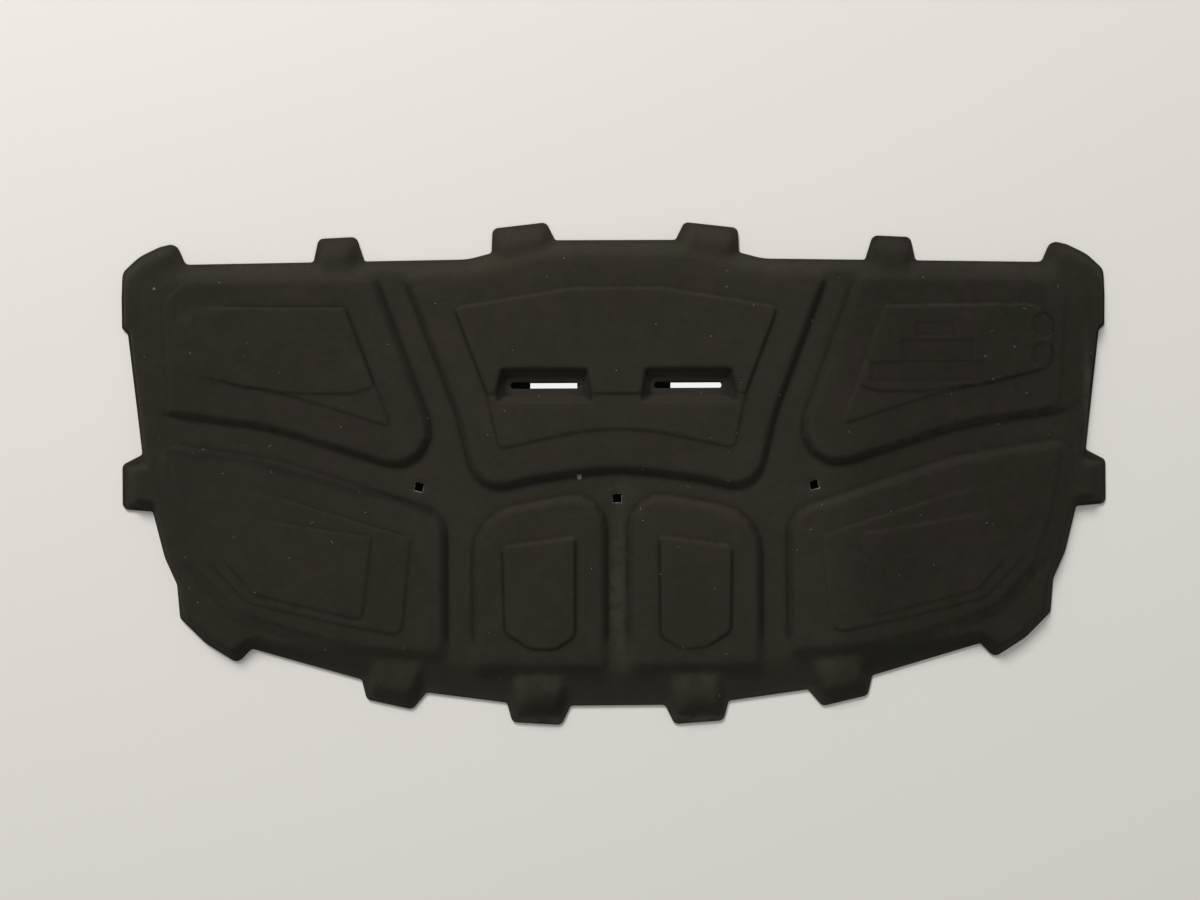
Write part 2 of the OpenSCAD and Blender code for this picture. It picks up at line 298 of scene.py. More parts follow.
def sampled(heights, points):
    """The map's values at points, straight between its four nearest cells."""
    c = np.clip((points[:, 0] - columns[0]) / CELL, 0, len(columns) - 1.001)
    r = np.clip((points[:, 1] - rows[0]) / CELL, 0, len(rows) - 1.001)
    c0, r0 = c.astype(int), r.astype(int)
    c, r = c - c0, r - r0
    upper = heights[r0, c0] * (1 - c) + heights[r0, c0 + 1] * c
    lower = heights[r0 + 1, c0] * (1 - c) + heights[r0 + 1, c0 + 1] * c
    return upper * (1 - r) + lower * r


def is_hole(loop):
    """Whether there is no felt in the loop's middle."""
    return sampled(felt_here.astype(float), loop.mean(0)[None])[0] < 0.5


outline = evenly(outline, EDGE_PIECE)
holes = [evenly(loop, EDGE_PIECE) for loop in floor_loops if is_hole(loop)]
hole_middles = [np.round(hole.mean(0), 3).tolist() for hole in holes]
print("outline in", len(outline), "pieces, holes at", hole_middles)

# %% [markdown]
# ## A skin with its points where the form bends
# A regular grid fine enough for the creases would waste most of its triangles on flat felt.
# So the points come from one lattice at three spacings: the finest where the height map bends
# sharply, twice that near it and four times that elsewhere. A Delaunay triangulation joins them,
# with the edge loops as lines that it has to keep.

# %% Choose the points
FINE = 0.0022  # finest spacing
NEAR_EDGE = 0.0013  # blur that keeps points clear of the edge loops
BEND_SIZE = 0.002  # size of the bends that count
FINE_REACH = 0.0016  # how far round a bend the fine spacing goes,
MEDIUM_REACH = 0.006  # and the medium one
FACE_BENDS = (0.00007, 0.000022)  # how much of a bend asks for the fine one, and the medium one
BACK_BENDS = (0.00015, 0.00005)


def bend(heights, radius):
    """How far the map bends near each point, in metres."""
    return blurred(abs(heights - blurred(heights, BEND_SIZE)), radius)


def lattice(heights, bends, finest):
    """Points inside the pad on a triangular lattice, dense where the map bends."""
    fine_from, medium_from = bends
    across = int((columns[-1] - columns[0]) / finest) + 2
    up = int((rows[-1] - rows[0]) / (finest * math.sin(math.pi / 3))) + 2
    j, i = np.meshgrid(np.arange(up), np.arange(-up // 2, across), indexing="ij")
    points = np.stack([
        columns[0] + finest * (i + j / 2),
        rows[0] + finest * math.sin(math.pi / 3) * j], axis=-1).reshape(-1, 2)
    i, j = i.ravel(), j.ravel()
    keep = (points[:, 0] > columns[0]) & (points[:, 0] < columns[-1])
    points, i, j = points[keep], i[keep], j[keep]
    level = 1 + ((i % 2 == 0) & (j % 2 == 0)) + ((i % 4 == 0) & (j % 4 == 0))
    sharp = sampled(bend(heights, FINE_REACH), points)
    wide = sampled(bend(heights, MEDIUM_REACH), points)
    needed = np.where(sharp > fine_from, 1, np.where(wide > medium_from, 2, 3))
    inside = sampled(blurred(felt_here.astype(float), NEAR_EDGE), points) > 0.9
    return points[inside & (level >= needed)]


face_points = lattice(face_map, FACE_BENDS, FINE)
back_points = lattice(back_map, BACK_BENDS, 2 * FINE)
print("points on the face:", len(face_points), "on the back:", len(back_points))

# %% [markdown]
# ## Join the points to one closed skin
# The face and the back are triangulated apart over the same edge loops. A cut felt edge isn't a
# knife edge: the face turns down a little before it, so each loop gets a second one just inside,
# and the two skins are joined by a narrow upright band.

# %% Triangulate the face and the back
TURN = 0.0009  # how far inside the edge the face starts to turn down
DROP = 0.0007  # how far it turns down
CLOSE = 1e-7  # points nearer to each other than this are one


def inside_loop(loop, distance):
    """The loop moved towards the felt. The outline runs one way round and the holes the other."""
    along = np.roll(loop, -1, axis=0) - np.roll(loop, 1, axis=0)
    side = np.stack([-along[:, 1], along[:, 0]], axis=1)
    return loop + distance * side / np.linalg.norm(side, axis=1)[:, None]


def area(loop):
    """Area inside the loop, below zero where it runs clockwise."""
    x, y = loop.T
    return float(np.sum(x * np.roll(y, -1) - y * np.roll(x, -1)) / 2)


loops = [outline if area(outline) > 0 else outline[::-1]]
loops += [h if area(h) < 0 else h[::-1] for h in holes]


def skin(points):
    """Points and triangles of one side, and where each loop's points are in them."""
    parts = [p for loop in loops for p in (loop, inside_loop(loop, TURN))] + [points]
    starts = np.cumsum([0] + [len(p) for p in parts])
    lines = []
    for k in range(0, 2 * len(loops), 2):
        n = len(parts[k])
        lines += [(int(starts[k] + a), int(starts[k] + (a + 1) % n)) for a in range(n)]
    made, _, triangles, origins, _, _ = delaunay_2d_cdt(
        [Vector(p) for p in np.vstack(parts)], lines, [], 1, CLOSE)
    place = {old: new for new, olds in enumerate(origins) for old in olds}
    rings = [[place[int(start + a)] for a in range(len(part))]
             for start, part in zip(starts, parts[:-1])]
    triangles = np.array(triangles)
    for ring in rings[2::2]:
        triangles = triangles[~np.isin(triangles, ring).all(axis=1)]
    return np.array([p[:] for p in made]), triangles, rings


face_xy, face_triangles, face_rings = skin(face_points)
back_xy, back_triangles, back_rings = skin(back_points)
print("triangles on the face:", len(face_triangles), "on the back:", len(back_triangles))

# %% [markdown]
# ## The pad's mesh
# Each point takes its height from its map. The band's faces run between the two rings of each
# loop, in the order that turns them outwards. The back's triangles are turned round, because
# they are seen from below.

# %% Join the two skins
face_z = sampled(face_map, face_xy)
back_z = sampled(back_map, back_xy)
for ring in face_rings[::2]:
    face_z[ring] -= DROP
back_z[back_rings[0]] += DROP
points = np.vstack([np.column_stack([face_xy, face_z]), np.column_stack([back_xy, back_z])])
first_back = len(face_xy)
bands = []
for upper, lower in zip(face_rings[::2], back_rings[::2]):
    n = len(upper)
    for a in range(n):
        b = (a + 1) % n
        bands.append((upper[b], upper[a], first_back + lower[a], first_back + lower[b]))
faces = face_triangles.tolist() + (back_triangles[:, ::-1] + first_back).tolist() + bands
mesh = bpy.data.meshes.new("hood_pad")
mesh.from_pydata(points.tolist(), [], faces)
mesh.validate()
pad = bpy.data.objects.new("hood_pad", mesh)
bpy.context.scene.collection.objects.link(pad)
mesh.polygons.foreach_set("use_smooth", np.ones(len(mesh.polygons), bool))
print("pad:", len(mesh.vertices), "points,", len(mesh.polygons), "faces")

# %% [markdown]
# ## Places of dust, dark patches, painted shade and painted light
# Years under a hood leave dust in a few smears, and the lower tabs have dark patches. A line of
# painted shade lies along the upper wall of the lower left panel. The felt is browner in the
# middle than at its ends, and painted light makes it paler in the middle and darkest on the right.
# These are single places, so short lists give them, each a soft oval or a soft line.

# %% Places of dust, dark patches, painted shade and painted light
SMEARS = [  # middle x and y, half length, half width, turn in degrees, strength
    (-0.489, 0.292, 0.060, 0.006, 0, 0.08),
    (0.519, 0.292, 0.055, 0.006, 0, 0.07),
    (-0.110, -0.286, 0.042, 0.012, -4, 0.15),
    (0.108, -0.286, 0.044, 0.012, 4, 0.16),
    (0.294, -0.264, 0.022, 0.014, 30, 0.16),
    (0.654, 0.120, 0.006, 0.060, 0, 0.34),
    (0.000, -0.306, 0.110, 0.012, 0, 0.05),
    (-0.102, -0.342, 0.038, 0.006, 2, 0.45),
    (0.112, -0.341, 0.038, 0.006, -2, 0.45),
    (0.004, -0.023, 0.020, 0.018, 0, 0.13),
    (0.259, -0.025, 0.013, 0.009, 0, 0.12),
    (-0.283, -0.010, 0.010, 0.008, 0, 0.06),
    (0.001, -0.168, 0.012, 0.108, 0, 0.22),
]
DARK_PATCHES = [  # the same for dark patches
    (-0.102, -0.316, 0.028, 0.014, 0, 0.60),
    (0.110, -0.316, 0.024, 0.012, 0, 0.35),
    (0.105, -0.175, 0.055, 0.095, 0, 0.08),
]
# points of a line of painted shade along the upper wall of the lower left panel
SHADE_LINE = [(-0.614, 0.0355), (-0.575, 0.0315), (-0.506, 0.0232), (-0.437, 0.004),
          (-0.368, -0.017), (-0.299, -0.035), (-0.258, -0.051)]
SHADE_LINE_WIDTH = 0.006
LIGHT_ACROSS_X = [-0.60, -0.40, -0.20, 0.05, 0.29, 0.34]  # places along the width
LIGHT_ACROSS = [0.14, 0.23, 0.34, 0.32, 0.34, 0.0]  # how much paler the painted light makes the felt there
BROWN_X = [-0.66, -0.55, -0.45, -0.25, 0.25, 0.45, 0.60]
BROWN = [-0.30, -0.12, -0.02, 0.15, 0.20, 0.04, -0.15]  # and how much browner


def smeared(patches):
    """Sum of soft oval patches over the grid."""
    total = np.zeros_like(grid_x)
    for x, y, length, width, turn, strength in patches:
        c, s = math.cos(math.radians(turn)), math.sin(math.radians(turn))
        u = ((grid_x - x) * c + (grid_y - y) * s) / length
        v = ((grid_y - y) * c - (grid_x - x) * s) / width
        total += strength * np.exp(-((u**2 + v**2) ** 1.5))
    return total


def near_shade_line():
    """1 along the line of painted shade, falling to 0 beside it."""
    nearest = np.full_like(grid_x, 1.0)
    for (x0, y0), (x1, y1) in zip(SHADE_LINE, SHADE_LINE[1:]):
        length = math.hypot(x1 - x0, y1 - y0)
        cx, cy = (x1 - x0) / length, (y1 - y0) / length
        along = np.clip((grid_x - x0) * cx + (grid_y - y0) * cy, 0, length)
        gap = np.hypot(grid_x - x0 - along * cx, grid_y - y0 - along * cy)
        nearest = np.minimum(nearest, gap)
    return np.exp(-(nearest / SHADE_LINE_WIDTH) ** 2)


print("smears:", len(SMEARS), "dark_patches:", len(DARK_PATCHES))

# %% [markdown]
# ## What the relief says
# The rest follows the form. The slope of the height map tells which way the felt faces, and
# the map's blur minus the map tells how far a point lies below what is round it. That finds
# the pinched feet of the walls, and with a smaller blur those of the low steps.

# %% What the relief says
slope_y, slope_x = np.gradient(blurred(face_map, 0.0015), CELL)
faces_up = below(slope_y, 0, 0.8)
faces_down = above(slope_y, 0, 0.6)
# walls that face left or right; they get painted shade
sideways = above(abs(slope_x), 0.2, 0.5) * (abs(grid_x) < 0.6) * (1 - soft_zone)
rim_near = np.clip(1 - (face_map - RIM_TOP) / 0.008, 0, 1)
# feet of the walls, where painted shade goes
wall_feet = above(blurred(face_map, 0.0035) - face_map, 0, 0.0012) * (1 - 0.8 * soft_zone)
creased = above(blurred(low_steps, 0.0015) - low_steps, 0, 0.00018) * (1 - worn)
# edges of the bare recesses; these and the recesses get painted shade
recess_edge = above(recesses - blurred(recesses, 0.0015), 0, 0.00018)
channel = blurred((abs(face_map - FLOOR_TOP) < 0.001).astype(float), 0.003)
right_side = above(grid_x, 0.26, 0.04)
both_ends = above(abs(grid_x), 0.3, 0.1)
step_y, step_x = np.gradient(blurred(low_steps, 0.0015), CELL)
# the low steps' feet that face up, and on the right those that face left, towards the lamp; they
# get a painted highlight
lit_steps = above(right_side * step_x - step_y, 0, 0.10)
middle = (abs(grid_x) < 0.29) & ((grid_y > 0.2) | (grid_y < -0.05))
lit_steps *= np.maximum(right_side, middle)
print("pinched:", round(float(wall_feet.mean()), 3), "creased:", round(float(creased.mean()), 3))

# %% [markdown]
# ## Painted shade, dust, painted light and soft
# The feet of the walls and of the low steps, the walls that face left or right, the bare recesses
# with their edges and one line along a wall get painted shade; the lower tabs get dark patches. In
# the middle and on the right, the feet of the low steps that face up, and on the right also those
# that face left, get a painted highlight instead, and so do the wall feet that face up on the
# right.
# Dust gathers on the hard rim, and the slopes that face down at both ends get painted light. The
# soft mask says where the felt is thick enough to be uneven and to hold lint.

# %% Painted shade, dust, painted light and soft
# painted shade on the wall feet (less where they face down), on the walls that face sideways, on
# the low steps' feet, along one line and in the recesses; the dark patches add to it
shade_and_patch_map = 0.60 * wall_feet * (1 - 0.6 * faces_down) + 0.28 * sideways + smeared(DARK_PATCHES)
shade_and_patch_map += 0.40 * creased * (1 - lit_steps) + 0.62 * near_shade_line()
shade_and_patch_map += 0.22 * recess_edge + 70 * recesses
# dust in smears and on the rim, and a painted highlight on the low steps' feet and the wall feet
# that face the lamp
dust_and_highlight_map = smeared(SMEARS) + 0.06 * rim_near + 0.13 * creased * lit_steps
dust_and_highlight_map += 0.05 * wall_feet * faces_up * right_side
# painted light on the slopes that face down at both ends
dust_and_highlight_map += 0.15 * faces_down * both_ends * (1 - soft_zone)
# painted light across the width, and paler channel floors
light_and_pale_map = blurred(np.interp(grid_x, LIGHT_ACROSS_X, LIGHT_ACROSS), 0.02) + 0.05 * channel
soft_map = above(face_map, 0.004, 0.008) * (1 - wall_feet)
print("darkest:", round(float(shade_and_patch_map.max()), 2), "dustiest:", round(float(dust_and_highlight_map.max()), 2))

# %% [markdown]
# ## Frayed clip holes
# The square holes were punched out, and loose threads stand round them. The band is narrower
# than the grid, so this mask is worked out at the skin's own points. All masks are kept on the
# skin as attributes that the material reads.

# %% Frayed clip holes
CLIPS = [(0.273, -0.016, 14), (-0.273, -0.016, -14), (0.0, -0.033, 0)]  # x, y, turn in degrees
CLIP_HALF = 0.006  # half a hole's side
FRAYED = 0.0009  # width of the frayed edge


def frayed_near(places):
    """1 at the edge of a clip hole, falling to 0 over the frayed width."""
    near = np.zeros(len(places))
    for x, y, turn in CLIPS:
        c, s = math.cos(math.radians(turn)), math.sin(math.radians(turn))
        across, up = places[:, 0] - x, places[:, 1] - y
        u, v = abs(across * c + up * s), abs(up * c - across * s)
        beyond = np.hypot(np.maximum(u - CLIP_HALF, 0), np.maximum(v - CLIP_HALF, 0))
        near = np.maximum(near, np.clip(1 - beyond / FRAYED, 0, 1))
    return near


def keep_mask(name, on_face):
    """Stores a value for each point of the face as an attribute; the back gets 0."""
    values = np.zeros(len(points), np.float32)
    values[:first_back] = on_face
    mesh.attributes.new(name, "FLOAT", "POINT").data.foreach_set("value", values)


maps = {"dust_and_highlight": dust_and_highlight_map, "shade_and_patches": shade_and_patch_map, "light_and_pale": light_and_pale_map, "soft": soft_map}
for name, heights in maps.items():
    keep_mask(name, np.clip(sampled(heights, face_xy), 0, 1))
keep_mask("frayed", frayed_near(face_xy))
keep_mask("brown", np.interp(face_xy[:, 0], BROWN_X, BROWN))
print("masks:", [a.name for a in mesh.attributes if a.data_type == "FLOAT"])

# %% [markdown]
# ## Helpers for node trees
# Materials and geometry are both built from nodes. One helper makes a node, sets its values and
# links its inputs, so a tree reads as a list of steps. Another makes a group of nodes with named
# sockets, which works for shaders and for geometry.


# %% Node helpers
def node(tree, kind, inputs=None, **settings):
    """A new node. Each input is a value or the socket that it is linked from."""
    made = tree.nodes.new(kind)
    for name, value in settings.items():
        setattr(made, name, value)
    for name, value in (inputs or {}).items():
        if isinstance(value, bpy.types.NodeSocket):
            tree.links.new(value, made.inputs[name])
        else:
            made.inputs[name].default_value = value
    return made


def math_node(tree, operation, a, b=0.0, clamp=False):
    """The result of one calculation with two values or sockets."""
    made = node(tree, "ShaderNodeMath", {0: a, 1: b}, operation=operation, use_clamp=clamp)
    return made.outputs[0]


def mixed(tree, factor, a, b):
    """Colour a where factor is 0 and colour b where it is 1."""
    mix = node(tree, "ShaderNodeMix", {0: factor, 6: a, 7: b}, data_type="RGBA")
    return mix.outputs[2]


def group(name, kind, inputs, outputs):
    """A node group with its sockets: {name: (type, default)} in, {name: type} out."""
    tree = bpy.data.node_groups.new(name, kind)
    for label, (socket, default) in inputs.items():
        made = tree.interface.new_socket(label, in_out="INPUT", socket_type="NodeSocket" + socket)
        if default is not None:
            made.default_value = default
    for label, socket in outputs.items():
        tree.interface.new_socket(label, in_out="OUTPUT", socket_type="NodeSocket" + socket)
    return tree, tree.nodes.new("NodeGroupInput"), tree.nodes.new("NodeGroupOutput")


print("helpers ready")

# %% [markdown]
# ## Felt fibres as a shader group
# Needled felt is a mat of fine fibres that lie in all directions. A noise stretched along one
# direction looks like fibres that run that way, so the group lays three of them over each other
# at different turns and keeps the highest. The pad and its lint both use it.

# %% Fibre group
fibres, given, result = group(
    "Fibres", "ShaderNodeTree",
    {"Vector": ("Vector", None), "Scale": ("Float", 1.0), "Stretch": ("Float", 9.0)},
    {"Shade": "Float", "Height": "Float"})
squeeze = node(fibres, "ShaderNodeCombineXYZ", {
    "X": 1.0, "Y": given.outputs["Stretch"], "Z": 4.0})
strands = []
for turn, shift in ((0.3, 0.0), (1.35, 3.7), (2.4, 7.1)):  # in radians, and any distance
    turned = node(fibres, "ShaderNodeVectorRotate", {
        "Vector": given.outputs["Vector"], "Angle": turn}, rotation_type="Z_AXIS")
    moved = node(fibres, "ShaderNodeVectorMath", {
        0: turned.outputs[0], 1: (shift, shift, shift)}, operation="ADD")
    drawn = node(fibres, "ShaderNodeVectorMath", {
        0: moved.outputs[0], 1: squeeze.outputs[0]}, operation="MULTIPLY")
    strand = node(fibres, "ShaderNodeTexNoise", {
        "Vector": drawn.outputs[0], "Scale": given.outputs["Scale"], "Detail": 2.0,
        "Roughness": 0.6, "Distortion": 0.6})
    strands.append(strand.outputs["Fac"])
top_strand = math_node(fibres, "MAXIMUM", math_node(fibres, "MAXIMUM", *strands[:2]), strands[2])
shade = node(fibres, "ShaderNodeMapRange", {
    "Value": top_strand, "From Min": 0.42, "From Max": 0.78, "To Min": 0.0, "To Max": 1.0})
fibres.links.new(shade.outputs[0], result.inputs["Shade"])
fibres.links.new(top_strand, result.inputs["Height"])
print("fibre group:", len(fibres.nodes), "nodes")

# %% [markdown]
# ## Material helpers
# Every finish here is dull, so one helper sets up a material with hardly any gloss and hands
# back what its colour is built from. Noise in object coordinates stays on the felt from any side.


# %% Material helpers
def new_material(name, roughness):
    """A material and its tree, shader and object coordinates."""
    made = bpy.data.materials.new(name)
    made.use_nodes = True
    shader = made.node_tree.nodes["Principled BSDF"]
    shader.inputs["Roughness"].default_value = roughness
    shader.inputs["Specular IOR Level"].default_value = 0.1
    place = node(made.node_tree, "ShaderNodeTexCoord").outputs["Object"]
    return made, made.node_tree, shader, place


def noise(tree, place, scale, detail=3.0, distortion=0.0):
    """A noise value from about 0.3 to 0.7."""
    made = node(tree, "ShaderNodeTexNoise", {
        "Vector": place, "Scale": scale, "Detail": detail, "Distortion": distortion})
    return made.outputs["Fac"]


def stretch(tree, value, low_end, high_end):
    """The value with low_end to high_end spread to 0 to 1."""
    return node(tree, "ShaderNodeMapRange", {
        "Value": value, "From Min": low_end, "From Max": high_end}).outputs[0]


def mask(tree, name):
    """One of the skin's masks."""
    return node(tree, "ShaderNodeAttribute", attribute_name=name).outputs["Fac"]


def times(tree, a, b):
    """The product of two values or sockets."""
    return math_node(tree, "MULTIPLY", a, b)


print("material helpers ready")

# %% [markdown]
# ## Colour of the felt
# The felt is a very dark, warm grey. Its colour wanders between olive and brown in soft clouds a
# hand wide, and between dark and pale in clouds, in mottles and in blotches a few millimetres
# wide. Noises of four sizes, added up, give that, on top of the painted light across the width.
# One darker colour gives the painted shade and the dark patches.

# %% Colour of the felt
FELT_OLIVE = (0.0109, 0.0122, 0.0067, 1)
FELT_BROWN = (0.0146, 0.0108, 0.0091, 1)
FELT_LIGHT = (0.0306, 0.0272, 0.0198, 1)
# a darker colour for the painted shade and the dark patches
FELT_SHADE_AND_PATCHES = (0.0048, 0.0044, 0.0034, 1)
FELT_ROUGHNESS = 0.92
FIBRE_SCALE = 170.0
felt, tree, shader, place = new_material("felt", FELT_ROUGHNESS)
mat = node(tree, "ShaderNodeGroup", {"Vector": place, "Scale": FIBRE_SCALE}, node_tree=fibres)
hue = stretch(tree, noise(tree, place, 19.0, 6.0, 0.8), 0.40, 0.60)
hue = math_node(tree, "ADD", hue, mask(tree, "brown"), clamp=True)
clouds = stretch(tree, noise(tree, place, 9.0, 3.0), 0.36, 0.66)
mottles = stretch(tree, noise(tree, place, 42.0, 2.0, 0.4), 0.32, 0.68)
blotches = stretch(tree, noise(tree, place, 120.0, 3.0, 0.8), 0.35, 0.70)
shades = ((clouds, 0.12), (mottles, 0.13), (blotches, 0.15), (mat.outputs["Shade"], 0.17))
# the tone starts from the painted light across the width and the paler channel floors
tone = mask(tree, "light_and_pale")
for part, weight in shades:
    tone = math_node(tree, "ADD", tone, times(tree, part, weight))
tone = math_node(tree, "SUBTRACT", tone, 0.06, clamp=True)
colour = mixed(tree, tone, mixed(tree, hue, FELT_OLIVE, FELT_BROWN), FELT_LIGHT)
# painted shade and dark patches
colour = mixed(tree, mask(tree, "shade_and_patches"), colour, FELT_SHADE_AND_PATCHES)
print("felt colour:", len(tree.nodes), "nodes")

# %% [markdown]
# ## Dust, painted highlights and frayed threads
# Dust, the painted highlights and the painted light on some slopes are pale and warm, and lie in
# patches where their mask allows it. The threads round the clip holes are broken up by a very fine
# noise, so they look like single ends.

# %% Dust, painted highlights and frayed threads
# pale, warm colour of dust and of the painted highlights and painted light
DUST_AND_HIGHLIGHT = (0.081, 0.072, 0.060, 1)
LINT = (0.34, 0.32, 0.28, 1)
patchy = stretch(tree, noise(tree, place, 70.0, 5.0, 0.5), 0.30, 0.60)
# dust, painted highlights and painted light, in patches
colour = mixed(tree, times(tree, mask(tree, "dust_and_highlight"), patchy), colour, DUST_AND_HIGHLIGHT)
threads = stretch(tree, noise(tree, place, 420.0, 3.0, 1.0), 0.40, 0.60)
frayed = times(tree, mask(tree, "frayed"), times(tree, threads, 0.7))
colour = mixed(tree, frayed, colour, LINT)
print("with dust and threads:", len(tree.nodes), "nodes")

# %% [markdown]
# ## Specks and tufts
# Specks of lint are cells of a Voronoi pattern, most of which are switched off: only cells with
# a high random colour show their middle. Two larger tufts lie where they fell, round spots with
# a ragged edge that count only the distance in plan.

# %% Specks and tufts
SPECK_CELLS = 85.0  # per metre
SPECK = 0.045  # a speck's radius in cells
SPECKS_FROM = 0.93  # cells with a random value above this have a speck
TUFTS = [(-0.052, -0.003, 0.0032), (-0.633, 0.258, 0.0015)]  # x, y, radius
TUFT_COVER = 0.45
cells = node(tree, "ShaderNodeTexVoronoi", {
    "Vector": place, "Scale": SPECK_CELLS, "Randomness": 1.0})
near = math_node(tree, "LESS_THAN", cells.outputs["Distance"], SPECK)
pick = node(tree, "ShaderNodeSeparateColor", {"Color": cells.outputs["Color"]})
rare = math_node(tree, "GREATER_THAN", pick.outputs[0], SPECKS_FROM)
colour = mixed(tree, times(tree, near, rare), colour, LINT)
plan = node(tree, "ShaderNodeVectorMath", {0: place, 1: (1, 1, 0)}, operation="MULTIPLY")
ragged = math_node(tree, "ADD", threads, 0.6)
for x, y, radius in TUFTS:
    gap = node(tree, "ShaderNodeVectorMath", {
        0: plan.outputs[0], 1: (x, y, 0)}, operation="DISTANCE")
    tuft = math_node(tree, "LESS_THAN", times(tree, gap.outputs["Value"], ragged), radius)
    colour = mixed(tree, times(tree, tuft, TUFT_COVER), colour, LINT)
tree.links.new(colour, shader.inputs["Base Color"])
print("with specks and tufts:", len(tree.nodes), "nodes")

# %% [markdown]
# ## Surface of the felt
# The fibres and half of the blotches lift the surface by up to a fraction of a millimetre. That
# is too fine for the mesh, so a bump does it.

# %% Surface of the felt
BUMP_STRENGTH = 0.5
BUMP_HEIGHT = 0.0008
grain = math_node(tree, "ADD", mat.outputs["Height"], times(tree, blotches, 0.5))
bump = node(tree, "ShaderNodeBump", {
    "Height": grain, "Strength": BUMP_STRENGTH, "Distance": BUMP_HEIGHT})
tree.links.new(bump.outputs[0], shader.inputs["Normal"])
print("felt:", len(tree.nodes), "nodes")

# %% [markdown]
# ## Lint
# Lint is single pale fibres and tiny curls of fluff. It takes the same fibre group, so it isn't
# one flat grey.

# %% Lint material
LINT_DARK = (0.11, 0.10, 0.085, 1)
LINT_PALE = (0.36, 0.34, 0.30, 1)
lint_colour, tree, shader, place = new_material("lint", 0.9)
mat = node(tree, "ShaderNodeGroup", {"Vector": place, "Scale": 400.0}, node_tree=fibres)
strand_colour = mixed(tree, mat.outputs["Shade"], LINT_DARK, LINT_PALE)
tree.links.new(strand_colour, shader.inputs["Base Color"])
print("lint:", len(tree.nodes), "nodes")

# %% [markdown]
# ## Uneven felt
# No felt is flat: it has lumps a few centimetres wide and a lively surface a few millimetres
# wide. A geometry tree moves the soft parts of the skin along their normals by two noises.
# Its sizes are named inputs, so another felt needs only other values.

# %% Unevenness tree
uneven, given, result = group(
    "Uneven felt", "GeometryNodeTree",
    {"Geometry": ("Geometry", None),
     "Lump Scale": ("Float", 22.0), "Lump Height": ("Float", 0.0008),
     "Grain Scale": ("Float", 140.0), "Grain Height": ("Float", 0.0005),
     "Seed": ("Float", 4.0), "Material": ("Material", None)},
    {"Geometry": "Geometry"})
heights = []
for size, height in (("Lump Scale", "Lump Height"), ("Grain Scale", "Grain Height")):
    wave = node(uneven, "ShaderNodeTexNoise", {
        "W": given.outputs["Seed"], "Scale": given.outputs[size], "Detail": 2.0},
        noise_dimensions="4D")
    centred = math_node(uneven, "SUBTRACT", wave.outputs["Fac"], 0.5)
    heights.append(times(uneven, centred, given.outputs[height]))
soft = node(uneven, "GeometryNodeInputNamedAttribute", {"Name": "soft"}, data_type="FLOAT")
lift = times(uneven, math_node(uneven, "ADD", *heights), soft.outputs[0])
normal = node(uneven, "GeometryNodeInputNormal")
offset = node(uneven, "ShaderNodeVectorMath", {
    0: normal.outputs[0], "Scale": lift}, operation="SCALE")
shifted = node(uneven, "GeometryNodeSetPosition", {
    "Geometry": given.outputs["Geometry"], "Offset": offset.outputs[0]})
real = node(uneven, "GeometryNodeRealizeInstances", {"Geometry": shifted.outputs[0]})
finished = node(uneven, "GeometryNodeSetMaterial", {
    "Geometry": real.outputs[0], "Material": given.outputs["Material"]})
uneven.links.new(finished.outputs[0], result.inputs["Geometry"])
print("unevenness tree:", len(uneven.nodes), "nodes")

# %% [markdown]
# ## Run the tree
# A tree works through a modifier. Its inputs are set by their identifiers, the evaluated result
# becomes the piece's plain mesh, and the modifier is taken off again, so nothing live is left.


# %% Run the tree
def run_tree(piece, tree, values):
    """Runs a geometry tree on a piece and keeps its result as the piece's plain mesh."""
    modifier = piece.modifiers.new(tree.name, "NODES")
    modifier.node_group = tree
    sockets = {s.name: s.identifier for s in tree.interface.items_tree if s.in_out == "INPUT"}
    for name, value in values.items():
        modifier[sockets[name]] = value
    depsgraph = bpy.context.evaluated_depsgraph_get()
    evaluated = piece.evaluated_get(depsgraph)
    made = bpy.data.meshes.new_from_object(evaluated, depsgraph=depsgraph)
    piece.modifiers.remove(modifier)
    piece.data = made
    made.name = piece.name
    return made


made = run_tree(pad, uneven, {
    "Lump Scale": 22.0, "Lump Height": 0.0008, "Grain Scale": 140.0, "Grain Height": 0.0005,
    "Seed": 4.0, "Material": felt})
print("uneven felt:", len(made.vertices), "points, materials", [m.name for m in made.materials])

# %% [markdown]
# ## Scattered fibres
# Lint lies where it fell. The tree scatters points on the soft parts of the face, as many to the
# square metre as its density says. A fibre is a short curve with a three-sided section, and
# three ways to bend are enough, because each copy gets its own turn and size.

# %% Points and three bent fibres
FIBRE_BENDS = [  # start, its handle, the end's handle and the end, of a fibre of length 1
    ((-0.5, 0, 0.02), (-0.2, 0.3, 0.06), (0.2, 0.3, 0.06), (0.5, 0, 0.02)),
    ((-0.5, 0, 0.02), (-0.1, 0.5, 0.10), (0.1, -0.5, 0.05), (0.5, 0.1, 0.02)),
    ((-0.3, 0, 0.02), (0.5, 0.1, 0.12), (0.3, 0.6, 0.05), (-0.1, 0.3, 0.03)),
]
scatter, given, result = group(
    "Scattered fibres", "GeometryNodeTree",
    {"Geometry": ("Geometry", None), "Density": ("Float", 300.0), "Length": ("Float", 0.006),
     "Radius": ("Float", 0.00012), "Seed": ("Int", 3), "Material": ("Material", None)},
    {"Geometry": "Geometry"})
soft = node(scatter, "GeometryNodeInputNamedAttribute", {"Name": "soft"}, data_type="FLOAT")
density = times(scatter, soft.outputs[0], given.outputs["Density"])
spots = node(scatter, "GeometryNodeDistributePointsOnFaces", {
    "Mesh": given.outputs["Geometry"], "Density": density, "Seed": given.outputs["Seed"]})
bends = node(scatter, "GeometryNodeJoinGeometry")
thin = math_node(scatter, "DIVIDE", given.outputs["Radius"], given.outputs["Length"])
